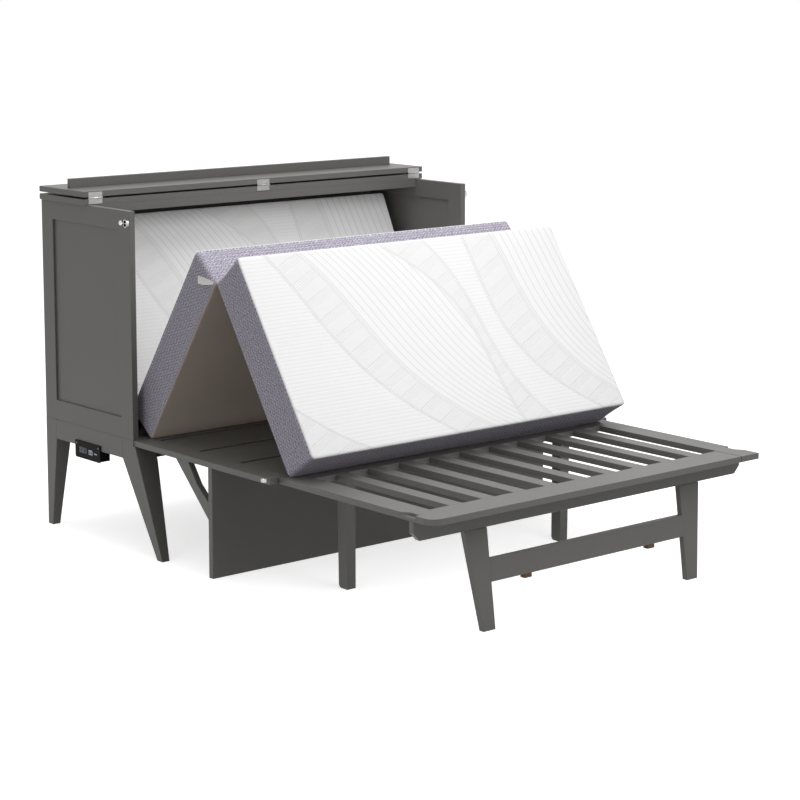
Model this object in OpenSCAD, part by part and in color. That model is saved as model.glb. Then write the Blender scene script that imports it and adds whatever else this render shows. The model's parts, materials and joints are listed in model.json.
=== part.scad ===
// Cabinet bed: a cabinet whose front folds down into a slatted platform for a trifold mattress.
// Pieces are drawn in the bed's open pose with the depth measured forward from the cabinet's back.
// place() then turns the depth into the object's own frame: front towards -Y, up towards +Z.

/* [Cabinet] */
// Outside width of the case
case_w = 1520; // [1400:10:1640]
// Depth of the case from back to front edge
case_d = 560; // [540:5:600]
// Height of the side frames' upper edge
case_h = 1181; // [1170:1:1240]
// Thickness of the side boards, legs' cheeks and aprons
panel_t = 22; // [18:1:24]
// Width of the back and front stiles of a side frame
stile_w = 72; // [50:1:100]
// Height of a side frame's lower rail
low_rail_h = 71; // [50:1:100]
// Height of a side frame's upper rail
top_rail_h = 67; // [50:1:100]
// Thickness of the infill panel
infill_t = 8; // [4:1:12]
// Depth of the groove that holds the infill panel
groove_d = 8; // [4:1:12]
// Thickness of the back panel
back_t = 20; // [12:1:24]

/* [Legs and aprons] */
// Height of the aprons' lower edge
apron_z = 323; // [300:1:340]
// Thickness of the front and back aprons
apron_t = 20; // [15:1:25]
// Side of the square that each cabinet leg stands on
leg_foot = 30; // [24:1:40]
// Width of a back leg under the apron
back_leg_w = 60; // [45:1:80]
// Depth of a back leg under the apron
back_leg_d = 68; // [50:1:80]
// Width of a front leg under the apron
front_leg_w = 79; // [60:1:90]
// Depth of a front leg under the case
front_leg_d = 67; // [50:1:80]
// How far a front leg's foot stands in front of the case
front_leg_rake = 165; // [100:5:180]
// How far the ledge of a front leg stands in front of the case
ledge_reach = 10; // [6:1:14]

/* [Top boards] */
// Thickness of the two top boards
top_t = 20; // [16:1:25]
// Depth of each top board
top_d = 291; // [270:1:293]
// Overhang of the top boards beyond the case on each side
top_side = 11; // [8:1:20]
// Distance of the rear top board from the wall
top_back = 6; // [2:1:12]
// Gap between the folded lid and the rear top board
lid_gap = 7; // [6:0.5:9]
// Height of the header rail
header_h = 31; // [20:1:40]
// Height of the lid's cleat
cleat_h = 32; // [20:1:40]
// Thickness of the cleat
cleat_t = 18; // [12:1:22]
// Distance of the cleat from the lid's rear edge
cleat_in = 124; // [100:1:140]
// Gap between the cleat's ends and the side boards
cleat_end = 6; // [3:1:12]

/* [Platform] */
// Height of the platform's underside
deck_z = 374; // [340:1:400]
// Thickness of the platform boards
deck_t = 20; // [18:1:24]
// Distance of the head deck's front edge behind the case's front edge
deck_set_back = 3; // [3:0.5:5]
// Gap between two sections of the platform
fold_gap = 4; // [4:0.25:5]
// Height of the fold axes above the platform's surface
fold_rise = 1.5; // [1.5:0.1:2]
// Setback of the middle section's edges from the case's sides
mid_side = 3; // [3:1:60]
// Clearance from the middle section's end, when it closes the case, to the side frames' upper edge
mid_top_gap = 21; // [19:1:47]
// Width of the middle section's side rails
mid_rail_w = 72; // [50:1:90]
// Depth of the middle section's rear rail
mid_rear_d = 45; // [40:1:80]
// Width of the first two planks
plank_w = 210; // [180:1:220]
// Gap between planks
plank_gap = 20; // [5:1:24]
// Setback of the foot section's edges from the case's sides
foot_side = 38; // [35:1:70]
// How much shorter the foot section is than the middle section
foot_short = 27; // [21:1:66]
// Width of the foot section's side rails
foot_rail_w = 86; // [60:1:100]
// Depth of the foot section's rear rail
foot_rear_d = 81; // [60:1:100]
// Depth of the end board
end_d = 112; // [95:1:140]
// Open joint between the end board and the right side rail
end_joint = 3; // [0:0.5:6]
// Radius of the end board's rounded corner
end_r = 40; // [10:1:45]
// Number of slats
slat_n = 9; // [7:1:11]
// Width of a slat
slat_w = 52; // [40:1:70]

/* [Finger notches] */
// Length of each notch in the foot section's edges
notch_l = 76; // [60:1:90]
// Width of each notch in from the edge
notch_d = 18; // [10:1:25]
// Depth of each notch below the top face
notch_h = 9; // [6:1:12]
// Distance of the left notch's front end from the foot end
notch_left_in = 77; // [70:1:90]
// Distance of the right notch's front end from the foot end
notch_right_in = 60; // [40:1:70]

/* [Desk panel] */
// Thickness of the full width panel
desk_t = 22; // [18:1:25]
// Setback of the panel's ends from the middle section's edges
desk_in = 5; // [0:1:20]
// Distance of the panel from the middle section's rear edge
desk_from_fold = 424; // [380:1:440]
// How far each brace reaches along the platform
brace_l = 185; // [120:1:220]
// How far each brace reaches down the panel
brace_h = 178; // [120:1:220]
// Thickness of a brace
brace_t = 22; // [16:1:25]

/* [Supports under the foot section] */
// Distance of the end apron's front face from the foot end
end_apron_in = 85; // [70:1:100]
// Height of the end apron
end_apron_h = 62; // [50:1:70]
// Width cut from each lower corner of the end apron
apron_clip_w = 25; // [10:1:40]
// Height of that corner cut
apron_clip_h = 26; // [10:1:40]
// Slope of the foot legs forward, as a run over their height
foot_leg_run = 42; // [20:1:60]
// Thickness of the foot legs and their stretcher
foot_leg_t = 20; // [18:1:22]
// Distance of a foot leg's inner edge from the foot section's edge
foot_leg_in = 294; // [272:1:342]
// Width of a foot leg at the top
foot_leg_top_w = 92; // [70:1:100]
// Width of a foot leg at the floor
foot_leg_foot_w = 49; // [35:1:60]
// Height of the stretcher's lower edge
stretcher_z = 144; // [100:1:180]
// Height of the stretcher
stretcher_h = 70; // [50:1:90]
// Width of the stretcher's blocks
block_w = 30; // [20:1:60]
// Height of the blocks
block_h = 13; // [10:1:30]
// Depth of the blocks
block_d = 20; // [12:1:40]
// Distance of a block's inner side from the leg's inner edge
block_in = 169; // [128:1:228]
// Distance of a mid leg's inner face from the foot section's edge
mid_leg_side = 260; // [222:1:292]
// Width of a mid leg at the top
mid_leg_top_w = 41; // [34:1:50]
// Width of a mid leg at the floor
mid_leg_foot_w = 35; // [28:1:45]
// Depth of a mid leg
mid_leg_d = 44; // [34:1:50]
// Distance of a mid leg from the foot section's rear edge
mid_leg_in = 20; // [10:1:30]
// Radius of a mid leg's rear lower edge
mid_leg_r = 14; // [5:1:17]

/* [Hinges] */
// Width of a lid hinge
lid_hinge_w = 56; // [40:1:80]
// Distance of the outer lid hinges' middles from the case's sides
lid_hinge_side = 35; // [30:5:160]
// Radius of a lid hinge's knuckles
lid_knuckle_r = 3; // [2.5:0.1:3.2]
// Width of a platform hinge
fold_hinge_w = 70; // [50:1:90]
// Distance of the outer platform hinges' middles from the middle section's edges
fold_hinge_side = 127; // [97:3:232]
// Radius of the platform hinges' knuckles
fold_knuckle_r = 2.3; // [2:0.1:2.3]
// Radius of the hinge pins
pin_r = 1.2; // [0.8:0.1:1.4]
// Running clearance of the pins, as a radius
pin_play = 0.08; // [0.04:0.01:0.1]
// Thickness of the hinge leaves
leaf_t = 1.5; // [1:0.1:1.5]
// Height of the hinge leaves
leaf_h = 17; // [12:1:17]

/* [Latches] */
// Distance of the catch's middle from the middle section's front edge
catch_in = 22; // [18:1:66]
// Length of a catch block along the rail
catch_l = 26; // [20:1:30]
// Thickness of a catch block
catch_t = 13; // [12:1:13]
// How far the catch stands out past the case's face
latch_out = 11; // [10.5:0.1:12]
// Radius of the bolt pin
bolt_r = 3; // [2:0.1:3.5]
// Travel of the bolt
bolt_travel = 11; // [8:0.5:12]
// Clearance of the bolt in its boss and catch
bolt_play = 0.1; // [0.05:0.01:0.1]
// Length of the oval boss along the case
boss_l = 20; // [14:1:24]
// Height of the oval boss
boss_h = 28; // [20:1:32]
// Distance of the boss from the case's front edge
boss_in = 2; // [1:0.5:30]
// Radius of the knob
knob_r = 9; // [8:0.5:12]
// Play between the knob and the boss at full travel
knob_play = 1; // [0.5:0.5:3]

/* [Charging station] */
// Length of the face plate
plate_l = 159; // [120:1:200]
// Height of the face plate
plate_h = 61; // [45:1:70]
// Thickness of the face plate
plate_t = 5; // [3:0.5:6]
// Distance of the face plate from the cabinet's back
plate_s = 198; // [120:1:260]
// How far the face plate overlaps the side apron
plate_lap = 19; // [12:1:25]
// Radius of the face plate's lower corners
plate_r = 8; // [2:1:12]
// Depth of the housing under the apron
housing_d = 38; // [25:1:50]
// Inset of the housing from the plate's ends
housing_in = 3; // [1:1:8]
// Length of the outlet block
outlet_l = 49; // [40:1:55]
// Height of the outlet block
outlet_h = 21; // [16:1:26]
// Distance from the plate's rear end to the outlets
outlet_in = 27; // [15:1:30]
// Length of the charging block
usb_l = 25; // [18:1:28]
// Height of the charging block
usb_h = 17; // [12:1:20]
// Distance from the outlets to the charging block
usb_in = 10; // [5:1:14]
// Length of each small port
port_l = 8; // [5:0.5:10]
// Height of each small port
port_h = 5; // [3:0.5:7]
// Radius of the power inlet's opening
inlet_r = 5; // [3:0.5:7]

/* [Mattress] */
// Distance of the mattress's sides from the case's sides
mat_side = 60; // [55:5:110]
// Thickness of each section
mat_t = 144; // [120:1:150]
// How much shorter the mattress's head section is than the platform's middle section
mat_head_short = 47; // [44:1:126]
// How much shorter the mattress's middle section is than the platform's
mat_mid_short = 59; // [56:1:106]
// How much shorter the mattress's foot section is than the platform's middle section
mat_foot_short = 65; // [61:1:106]
// Distance of the middle section's lower edge from the cabinet fold
mat_mid_in = 12; // [12:1:20]
// Distance of the foot section's lower edge past the section fold
mat_foot_in = 19; // [10:1:40]
// Radius of the mattress's corners seen from above
mat_corner_r = 30; // [15:1:45]
// Radius of the mattress's long edges
mat_edge_r = 9; // [5:1:14]
// Height of the crown on the mattress's faces
mat_crown = 5; // [2:0.5:8]
// How far the sides draw in halfway up
mat_waist = 2; // [0.5:0.5:4]

/* [Hidden] */

// Clearance between a piece and the seat that carries it
seat = 0.3;
// Overrun of every cut
cut = 1;
// Reach of the lid's hinge line in front of the two boards
lid_axis_out = 2;
// Facets of the round parts
$fn = 48;

// Half widths and depths that the pieces share
half = case_w / 2;
inner = half - panel_t;
deck_top = deck_z + deck_t;
mid_l = case_h - deck_top - mid_top_gap;
foot_l = mid_l - foot_short;
fold_1 = case_d - deck_set_back + fold_gap / 2;
mid_s0 = fold_1 + fold_gap / 2;
mid_s1 = mid_s0 + mid_l;
fold_2 = mid_s1 + fold_gap / 2;
foot_s0 = fold_2 + fold_gap / 2;
foot_s1 = foot_s0 + foot_l;
fold_z = deck_top + fold_rise;
deck_s1 = mid_s0 - fold_gap;
mid_half = half - mid_side;
foot_half = half - foot_side;
top_half = half + top_side;
top_s1 = top_back + top_d;
lid_axis_s = top_s1 + lid_axis_out;
lid_z = case_h + top_t + lid_gap;
lid_axis_z = case_h + top_t + lid_gap / 2;
desk_s = mid_s0 + desk_from_fold;
foot_leg_x = foot_half - foot_leg_in;
block_x = foot_leg_x - block_in;
mid_leg_x = foot_half - mid_leg_side;
lid_hinge_x = half - lid_hinge_side;
fold_hinge_step = 2 * (mid_half - fold_hinge_side) / 3;
catch_from_fold = mid_l - catch_in;
mat_w = case_w - 2 * mat_side;
mat_head_l = mid_l - mat_head_short;
mat_mid_l = mid_l - mat_mid_short;
mat_foot_l = mid_l - mat_foot_short;
desk_half = mid_half - desk_in;
end_apron_s1 = foot_s1 - end_apron_in;
end_apron_s0 = end_apron_s1 - apron_t;
end_apron_z = deck_z - end_apron_h;

// Whole object turned into its own frame, centred on its footprint
module place() {
  translate([0, foot_s1 / 2, 0]) mirror([0, 1, 0]) children();
}

// Left pieces are the mirror image of right ones
module on(side) {
  mirror([side == "left" ? 1 : 0, 0, 0]) children();
}

// Box between two corners: across, forward and up
module board(x0, x1, s0, s1, z0, z1) {
  translate([x0, s0, z0]) cube([x1 - x0, s1 - s0, z1 - z0]);
}

// Outline in depth and height, as thick as the distance from x0 to x1
module prism_x(x0, x1, points) {
  translate([x0, 0, 0]) rotate([90, 0, 90]) linear_extrude(x1 - x0) polygon(points);
}

// Outline in width and height, as deep as the distance from s0 to s1
module prism_s(s0, s1, points) {
  translate([0, s1, 0]) rotate([90, 0, 0]) linear_extrude(s1 - s0) polygon(points);
}

// Side frames with a window and a groove for the infill
window_s0 = stile_w;
window_s1 = case_d - stile_w;
window_z0 = deck_top + low_rail_h;
window_z1 = case_h - top_rail_h;
infill_x = half - (panel_t + infill_t) / 2;
module side_frame(side) color("dimgray") place() on(side) difference() {
  board(inner, half, 0, case_d, deck_top, case_h);
  board(inner - cut, half + cut, window_s0, window_s1, window_z0, window_z1);
  infill_shape();
}
module infill_shape() {
  board(infill_x, infill_x + infill_t, window_s0 - groove_d, window_s1 + groove_d,
    window_z0 - groove_d, window_z1 + groove_d);
}
module side_infill(side) color("dimgray") place() on(side) infill_shape();

// Aprons between the legs
front_leg_s0 = case_d - front_leg_d;
module side_apron(side) color("dimgray") place() on(side)
  board(inner, half, back_leg_d, front_leg_s0, apron_z, deck_top);
module front_apron() color("dimgray") place()
  board(front_leg_w - half, half - front_leg_w, deck_s1 - apron_t, deck_s1, apron_z, deck_z);
module back_apron() color("dimgray") place()
  board(back_leg_w - half, half - back_leg_w, 0, back_t, apron_z, deck_z);

// Legs, each the common part of its side outline and its front outline
ledge_z = deck_z - seat;
module leg_front(leg_w, low) {
  polygon([[half, 0], [half - leg_foot, 0], [half - leg_w, apron_z], [half - leg_w, low],
    [inner, low], [inner, deck_top], [half, deck_top]]);
}
module front_leg(side) color("dimgray") place() on(side) intersection() {
  prism_x(half - front_leg_w, half, [[front_leg_s0, deck_top], [front_leg_s0, apron_z],
    [case_d + front_leg_rake - leg_foot, 0], [case_d + front_leg_rake, 0],
    [case_d + ledge_reach, ledge_z], [case_d, ledge_z], [case_d, deck_top]]);
  translate([0, case_d + front_leg_rake, 0]) rotate([90, 0, 0])
    linear_extrude(case_d + front_leg_rake) leg_front(front_leg_w, ledge_z);
}
module back_leg(side) color("dimgray") place() on(side) intersection() {
  prism_x(half - back_leg_w, half, [[0, 0], [leg_foot, 0], [back_leg_d, apron_z],
    [back_leg_d, deck_top], [0, deck_top]]);
  translate([0, back_leg_d, 0]) rotate([90, 0, 0])
    linear_extrude(back_leg_d) leg_front(back_leg_w, deck_z);
}

// Back panel and head deck stand between the side boards
module back_panel() color("dimgray") place() board(-inner, inner, 0, back_t, deck_z, case_h);
module head_deck() color("dimgray") place() board(-inner, inner, back_t, deck_s1, deck_z, deck_top);

// Top boards
module top_board() color("gray") place()
  board(-top_half, top_half, top_back, top_s1, case_h, case_h + top_t);
module header_rail() color("dimgray") place()
  board(-inner, inner, top_s1 - apron_t, top_s1, case_h - header_h, case_h);
module lid_board() color("gray") place()
  board(-top_half, top_half, top_back, top_s1, lid_z, lid_z + top_t);
module lid_cleat() color("dimgray") place()
  board(cleat_end - inner, inner - cleat_end, top_back + cleat_in, top_back + cleat_in + cleat_t,
    lid_z + top_t, lid_z + top_t + cleat_h);

// Half of a butt hinge about the x axis, with its leaf as a child: the middle knuckle with its
// bore, or the two outer knuckles with the pin.
knuckle_gap = 0.4;
module hinge_half(w, r, middle) {
  third = w / 3;
  if (middle) difference() {
    union() {
      translate([knuckle_gap - third / 2, 0, 0]) rotate([0, 90, 0]) cylinder(h = third - 2 * knuckle_gap, r = r);
      children();
    }
    translate([-third / 2 - cut, 0, 0]) rotate([0, 90, 0]) cylinder(h = third + 2 * cut, r = pin_r + pin_play);
  }
  else {
    for (side = [-1, 1]) translate([side * third - third / 2, 0, 0]) rotate([0, 90, 0])
      cylinder(h = third, r = r);
    translate([-w / 2, 0, 0]) rotate([0, 90, 0]) cylinder(h = w, r = pin_r);
    children();
  }
}
// Leaf at depths s0 to s0 + leaf_t that starts clear of the knuckles, with necks that reach its own.
// It hangs below the axis when down is 1 and stands above it when down is -1.
module leaf(w, r, s0, h, down, middle) {
  third = w / 3;
  near = r + seat;
  neck = r / 4;
  mirror([0, 0, down > 0 ? 1 : 0]) {
    translate([-w / 2, s0, near]) cube([w, leaf_t, h - near]);
    if (middle) translate([2 * knuckle_gap - third / 2, s0, neck])
      cube([third - 4 * knuckle_gap, leaf_t, h - neck]);
    else for (side = [-1, 1]) translate([side * third - third / 2, s0, neck]) cube([third, leaf_t, h - neck]);
  }
}

// Lid hinges on the front edges of the two boards
module lid_hinge(middle) color("silver") place() for (x = [-lid_hinge_x, 0, lid_hinge_x])
  translate([x, lid_axis_s, lid_axis_z]) hinge_half(lid_hinge_w, lid_knuckle_r, middle)
    leaf(lid_hinge_w, lid_knuckle_r, top_s1 - lid_axis_s, lid_gap / 2 + leaf_h, middle ? -1 : 1, middle);
module lid_hinge_fixed() lid_hinge(false);
module lid_hinge_moving() lid_hinge(true);

// Platform hinges, four at each fold, with leaves on the boards' facing edges
module fold_hinges(s, middle) color("silver") place() for (i = [-1.5, -0.5, 0.5, 1.5])
  translate([i * fold_hinge_step, s, fold_z]) hinge_half(fold_hinge_w, fold_knuckle_r, middle)
    leaf(fold_hinge_w, fold_knuckle_r, middle ? fold_gap / 2 - leaf_t : -fold_gap / 2,
      fold_rise + leaf_h, 1, middle);
module fold_hinge_fixed() fold_hinges(fold_1, false);
module fold_hinge_moving() fold_hinges(fold_1, true);
module section_hinge_fixed() fold_hinges(fold_2, false);
module section_hinge_moving() fold_hinges(fold_2, true);

// Latches: an oval boss with a sliding bolt on the case, and a catch block on the middle section
latch_x = half + latch_out / 2;
latch_z = fold_z + catch_from_fold;
boss_s1 = case_d - boss_in;
boss_s0 = boss_s1 - boss_l;
knob_s = boss_s0 - knob_play - bolt_travel - knob_r;
bolt_end = fold_1 - fold_rise;
module latch_boss(side) color("silver") place() on(side) difference() {
  translate([half, (boss_s0 + boss_s1) / 2, latch_z]) rotate([0, 90, 0]) hull() {
    for (end = [-1, 1]) translate([end * (boss_h - boss_l) / 2, 0, 0])
      cylinder(h = latch_out, r = boss_l / 2);
  }
  bolt_hole(boss_s0 - cut, boss_l + 2 * cut);
}
module bolt_hole(s, l) {
  translate([latch_x, s, latch_z]) rotate([-90, 0, 0]) cylinder(h = l, r = bolt_r + bolt_play);
}
module latch_bolt(side) color("silver") place() on(side) {
  translate([latch_x, knob_s, latch_z]) rotate([-90, 0, 0]) cylinder(h = bolt_end - knob_s, r = bolt_r);
  translate([half + seat, knob_s, latch_z]) rotate([0, 90, 0]) cylinder(h = latch_out - seat, r = knob_r);
}
module catch_blocks() color("silver") place() for (side = ["left", "right"]) on(side) difference() {
  board(mid_half, half + latch_out - seat, fold_1 + catch_from_fold - catch_l / 2,
    fold_1 + catch_from_fold + catch_l / 2, deck_top - catch_t, deck_top);
  translate([latch_x, fold_1 + catch_from_fold, deck_top - catch_t - cut])
    cylinder(h = catch_t + 2 * cut, r = bolt_r + bolt_play);
}

// Middle section of the platform
mid_in = mid_half - mid_rail_w;
planks_s0 = mid_s0 + mid_rear_d + plank_gap;
module mid_rail(side) color("gray") place() on(side)
  board(mid_in, mid_half, mid_s0, mid_s1, deck_z, deck_top);
module mid_rear_rail() color("gray") place()
  board(-mid_in, mid_in, mid_s0, mid_s0 + mid_rear_d, deck_z, deck_top);
module mid_planks() color("gray") place() for (i = [0, 1, 2]) {
  s = planks_s0 + i * (plank_w + plank_gap);
  board(-mid_in, mid_in, s, i == 2 ? mid_s1 : s + plank_w, deck_z, deck_top);
}
module desk_panel() color("dimgray") place()
  board(-desk_half, desk_half, desk_s, desk_s + desk_t, 0, deck_z);
// The brace's inner curve, as shares of its reach along the platform and down the panel
brace_curve_shares = [[0.61, 0], [0.47, 0.2], [0.34, 0.39], [0.19, 0.52], [0, 0.67]];
module desk_brace(side) color("dimgray") place() on(side)
  prism_x(desk_half - brace_t, desk_half, concat([[desk_s, deck_z - brace_h], [desk_s - brace_l, deck_z]],
    [for (p = brace_curve_shares) [desk_s - p[0] * brace_l, deck_z - p[1] * brace_h]]));

// Foot section of the platform, one size narrower so that it folds inside the case
foot_in = foot_half - foot_rail_w;
end_s0 = foot_s1 - end_d;
slats_s0 = foot_s0 + foot_rear_d;
slat_gap = (2 * foot_in - slat_n * slat_w) / (slat_n + 1);
module notch_shape(s_square, s_round) {
  dir = s_round > s_square ? 1 : -1;
  polygon([[foot_half + cut, s_square], [foot_half - notch_d, s_square],
    for (i = [0:8]) let (f = i / 8)
      [foot_half - notch_d * (1 + cos(180 * f)) / 2, s_square + dir * notch_l * (1 + f) / 2],
    [foot_half + cut, s_round]]);
}
module left_notch() {
  translate([0, 0, deck_top - notch_h]) linear_extrude(notch_h + cut)
    notch_shape(foot_s1 - notch_left_in, foot_s1 - notch_left_in - notch_l);
}
module right_notch() {
  translate([0, 0, deck_top - notch_h]) linear_extrude(notch_h + cut)
    notch_shape(foot_s1 - notch_right_in - notch_l, foot_s1 - notch_right_in);
}
module foot_rail_left() color("gray") place() on("left") difference() {
  board(foot_in, foot_half, foot_s0, end_s0, deck_z, deck_top);
  left_notch();
}
module foot_rail_right() color("gray") place() difference() {
  board(foot_in, foot_half, foot_s0, foot_s1, deck_z, deck_top);
  right_notch();
}
module foot_rear_rail() color("gray") place()
  board(-foot_in, foot_in, foot_s0, slats_s0, deck_z, deck_top);
module foot_slats() color("gray") place() for (i = [0:slat_n - 1]) {
  x = -foot_in + slat_gap + i * (slat_w + slat_gap);
  board(x, x + slat_w, slats_s0, end_s0, deck_z, deck_top);
}
module foot_end_board() color("gray") place() on("left") difference() {
  union() {
    board(end_joint - foot_in, foot_half - end_r, end_s0, foot_s1, deck_z, deck_top);
    board(end_joint - foot_in, foot_half, end_s0, foot_s1 - end_r, deck_z, deck_top);
    translate([foot_half - end_r, foot_s1 - end_r, deck_z]) cylinder(h = deck_t, r = end_r);
  }
  left_notch();
}
module foot_apron() color("dimgray") place() prism_s(end_apron_s0, end_apron_s1,
  [[-foot_half, deck_z], [-foot_half, end_apron_z + apron_clip_h],
   [apron_clip_w - foot_half, end_apron_z], [foot_half - apron_clip_w, end_apron_z],
   [foot_half, end_apron_z + apron_clip_h], [foot_half, deck_z]]);

// Foot leg frame, hinged behind the end apron's lower edge
leg_axis_z = end_apron_z - fold_knuckle_r;
leg_top_z = end_apron_z - seat;
leg_slope = atan(foot_leg_run / leg_top_z);
leg_back_t = foot_leg_t / cos(leg_slope);
function leg_front_s(z) = end_apron_s0 + seat + leg_back_t + foot_leg_run * (leg_top_z - z) / leg_top_z;
leg_back_s = leg_front_s(leg_axis_z) - leg_back_t;
leg_axis_s = end_apron_s0 - fold_knuckle_r - seat;
module leg_board(low, high) {
  prism_x(-half, half, [[leg_front_s(low), low], [leg_front_s(low) - leg_back_t, low],
    [leg_front_s(high) - leg_back_t, high], [leg_front_s(high), high]]);
}
module foot_leg(side) color("dimgray") place() on(side) intersection() {
  leg_board(0, leg_top_z);
  prism_s(end_apron_s0 - 2 * foot_leg_t, foot_s1, [[foot_leg_x, 0], [foot_leg_x + foot_leg_foot_w, 0],
    [foot_leg_x + foot_leg_top_w, leg_top_z], [foot_leg_x, leg_top_z]]);
}
module foot_stretcher() color("dimgray") place() intersection() {
  leg_board(stretcher_z, stretcher_z + stretcher_h);
  board(-foot_leg_x, foot_leg_x, end_apron_s0 - 2 * foot_leg_t, foot_s1, 0, deck_z);
}
module stretcher_blocks() color("saddlebrown") place() for (side = ["left", "right"]) on(side)
  board(block_x, block_x + block_w, leg_front_s(stretcher_z) - block_d,
    leg_front_s(stretcher_z), stretcher_z - block_h, stretcher_z);
// Hinges of the foot legs: leaves on the back of the apron and on the back of the legs
foot_hinge_x = foot_leg_x + foot_leg_foot_w / 2;
foot_hinge_w = foot_leg_foot_w - 2 * leaf_t;
module foot_leg_hinge_fixed() color("silver") place() for (side = [-1, 1])
  translate([side * foot_hinge_x, leg_axis_s, leg_axis_z]) hinge_half(foot_hinge_w, fold_knuckle_r, false) {
    leaf(foot_hinge_w, fold_knuckle_r, end_apron_s0 - leg_axis_s - leaf_t, fold_knuckle_r + leaf_h, -1, false);
    for (end = [-1, 1]) translate([end * foot_hinge_w / 3 - foot_hinge_w / 6, 0, 0])
      cube([foot_hinge_w / 3, end_apron_s0 - leg_axis_s, fold_knuckle_r]);
  }
module foot_leg_hinge_moving() color("silver") place() for (side = [-1, 1])
  translate([side * foot_hinge_x, leg_axis_s, leg_axis_z]) hinge_half(foot_hinge_w, fold_knuckle_r, true)
    rotate([leg_slope, 0, 0]) leaf(foot_hinge_w, fold_knuckle_r, moving_leaf_s, fold_knuckle_r + leaf_h, 1, true);
// Distance from the axis to the back of a foot leg, square to the leg, less the leaf
moving_leaf_s = (leg_back_s - leg_axis_s) * cos(leg_slope) - leaf_t;

// Mid legs under the foot section's rear rail, hinged along their inner upper edge
mid_leg_s0 = foot_s0 + mid_leg_in;
mid_leg_z = deck_z - seat;
mid_axis_x = mid_leg_x - fold_knuckle_r - seat;
mid_axis_z = deck_z - fold_knuckle_r - seat;
module mid_leg(side) color("dimgray") place() on(side) intersection() {
  prism_s(mid_leg_s0, mid_leg_s0 + mid_leg_d, [[mid_leg_x, 0], [mid_leg_x + mid_leg_foot_w, 0],
    [mid_leg_x + mid_leg_top_w, mid_leg_z], [mid_leg_x, mid_leg_z]]);
  union() {
    board(0, half, mid_leg_s0 + mid_leg_r, mid_leg_s0 + mid_leg_d, 0, deck_z);
    board(0, half, mid_leg_s0, mid_leg_s0 + mid_leg_d, mid_leg_r, deck_z);
    translate([0, mid_leg_s0 + mid_leg_r, mid_leg_r]) rotate([0, 90, 0]) cylinder(h = half, r = mid_leg_r);
  }
}
mid_hinge_l = mid_leg_d - 2 * leaf_t;
mid_hinge_s = mid_leg_s0 + mid_leg_d / 2;
module mid_leg_hinge_fixed() color("silver") place() for (side = ["left", "right"]) on(side)
  translate([mid_axis_x, mid_hinge_s, mid_axis_z]) rotate([0, 0, 90])
    hinge_half(mid_hinge_l, fold_knuckle_r, false) {
      for (end = [-1, 1]) translate([end * mid_hinge_l / 3 - mid_hinge_l / 6, 0, 0])
        cube([mid_hinge_l / 3, fold_knuckle_r + seat, deck_z - mid_axis_z]);
      translate([-mid_hinge_l / 2, fold_knuckle_r + seat, deck_z - mid_axis_z - leaf_t])
        cube([mid_hinge_l, leaf_h, leaf_t]);
    }
module mid_leg_hinge(side) color("silver") place() on(side)
  translate([mid_axis_x, mid_hinge_s, mid_axis_z]) rotate([0, 0, 90])
    hinge_half(mid_hinge_l, fold_knuckle_r, true) {
      translate([0, mid_axis_x - mid_leg_x, 0])
        leaf(mid_hinge_l, fold_knuckle_r, 0, fold_knuckle_r + leaf_h, 1, true);
      translate([knuckle_gap - mid_hinge_l / 6, mid_axis_x - mid_leg_x, -fold_knuckle_r])
        cube([mid_hinge_l / 3 - 2 * knuckle_gap, mid_leg_x - mid_axis_x, fold_knuckle_r]);
    }

// Charging station under and on the left side apron
plate_z0 = apron_z + plate_lap - plate_h;
socket_z = apron_z - outlet_h - leaf_t;
module charger_plate() color("black") place() on("left") {
  difference() {
    union() {
      board(half, half + plate_t, plate_s, plate_s + plate_l, plate_z0 + plate_r, plate_z0 + plate_h);
      board(half, half + plate_t, plate_s + plate_r, plate_s + plate_l - plate_r, plate_z0, plate_z0 + plate_h);
      for (s = [plate_s + plate_r, plate_s + plate_l - plate_r])
        translate([half, s, plate_z0 + plate_r]) rotate([0, 90, 0]) cylinder(h = plate_t, r = plate_r);
    }
    socket_shapes(0);
  }
}
socket_deep = 3;
module socket_shapes(back) {
  s1 = plate_s + outlet_in;
  s2 = s1 + outlet_l + usb_in;
  s3 = s2 + usb_l + usb_in;
  x0 = half + plate_t - socket_deep;
  x1 = half + plate_t + cut - back;
  board(x0, x1, s1, s1 + outlet_l, socket_z, socket_z + outlet_h);
  board(x0, x1, s2, s2 + usb_l, socket_z, socket_z + usb_h);
  for (i = [0, 1]) board(x0, x1, s3 + i * (port_l + leaf_t), s3 + i * (port_l + leaf_t) + port_l,
    socket_z + port_h, socket_z + 2 * port_h);
}
module charger_sockets() color("gray") place() on("left") socket_shapes(cut);
module charger_housing() color("black") place() on("left") difference() {
  board(half - housing_d, half, plate_s + housing_in, plate_s + plate_l - housing_in,
    plate_z0 + housing_in, apron_z);
  translate([half - housing_d / 2, plate_s + housing_in - cut, (plate_z0 + housing_in + apron_z) / 2])
    rotate([-90, 0, 0]) cylinder(h = 2 * inlet_r + cut, r = inlet_r);
}

// A mattress section lying flat: length along y from 0, width along x, thickness along z from 0.
// Rings of points run from the lower face's middle over the side to the upper face's middle.
face_shares = [0.3, 0.62, 0.86, 0.965];
side_steps = 4;
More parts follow.
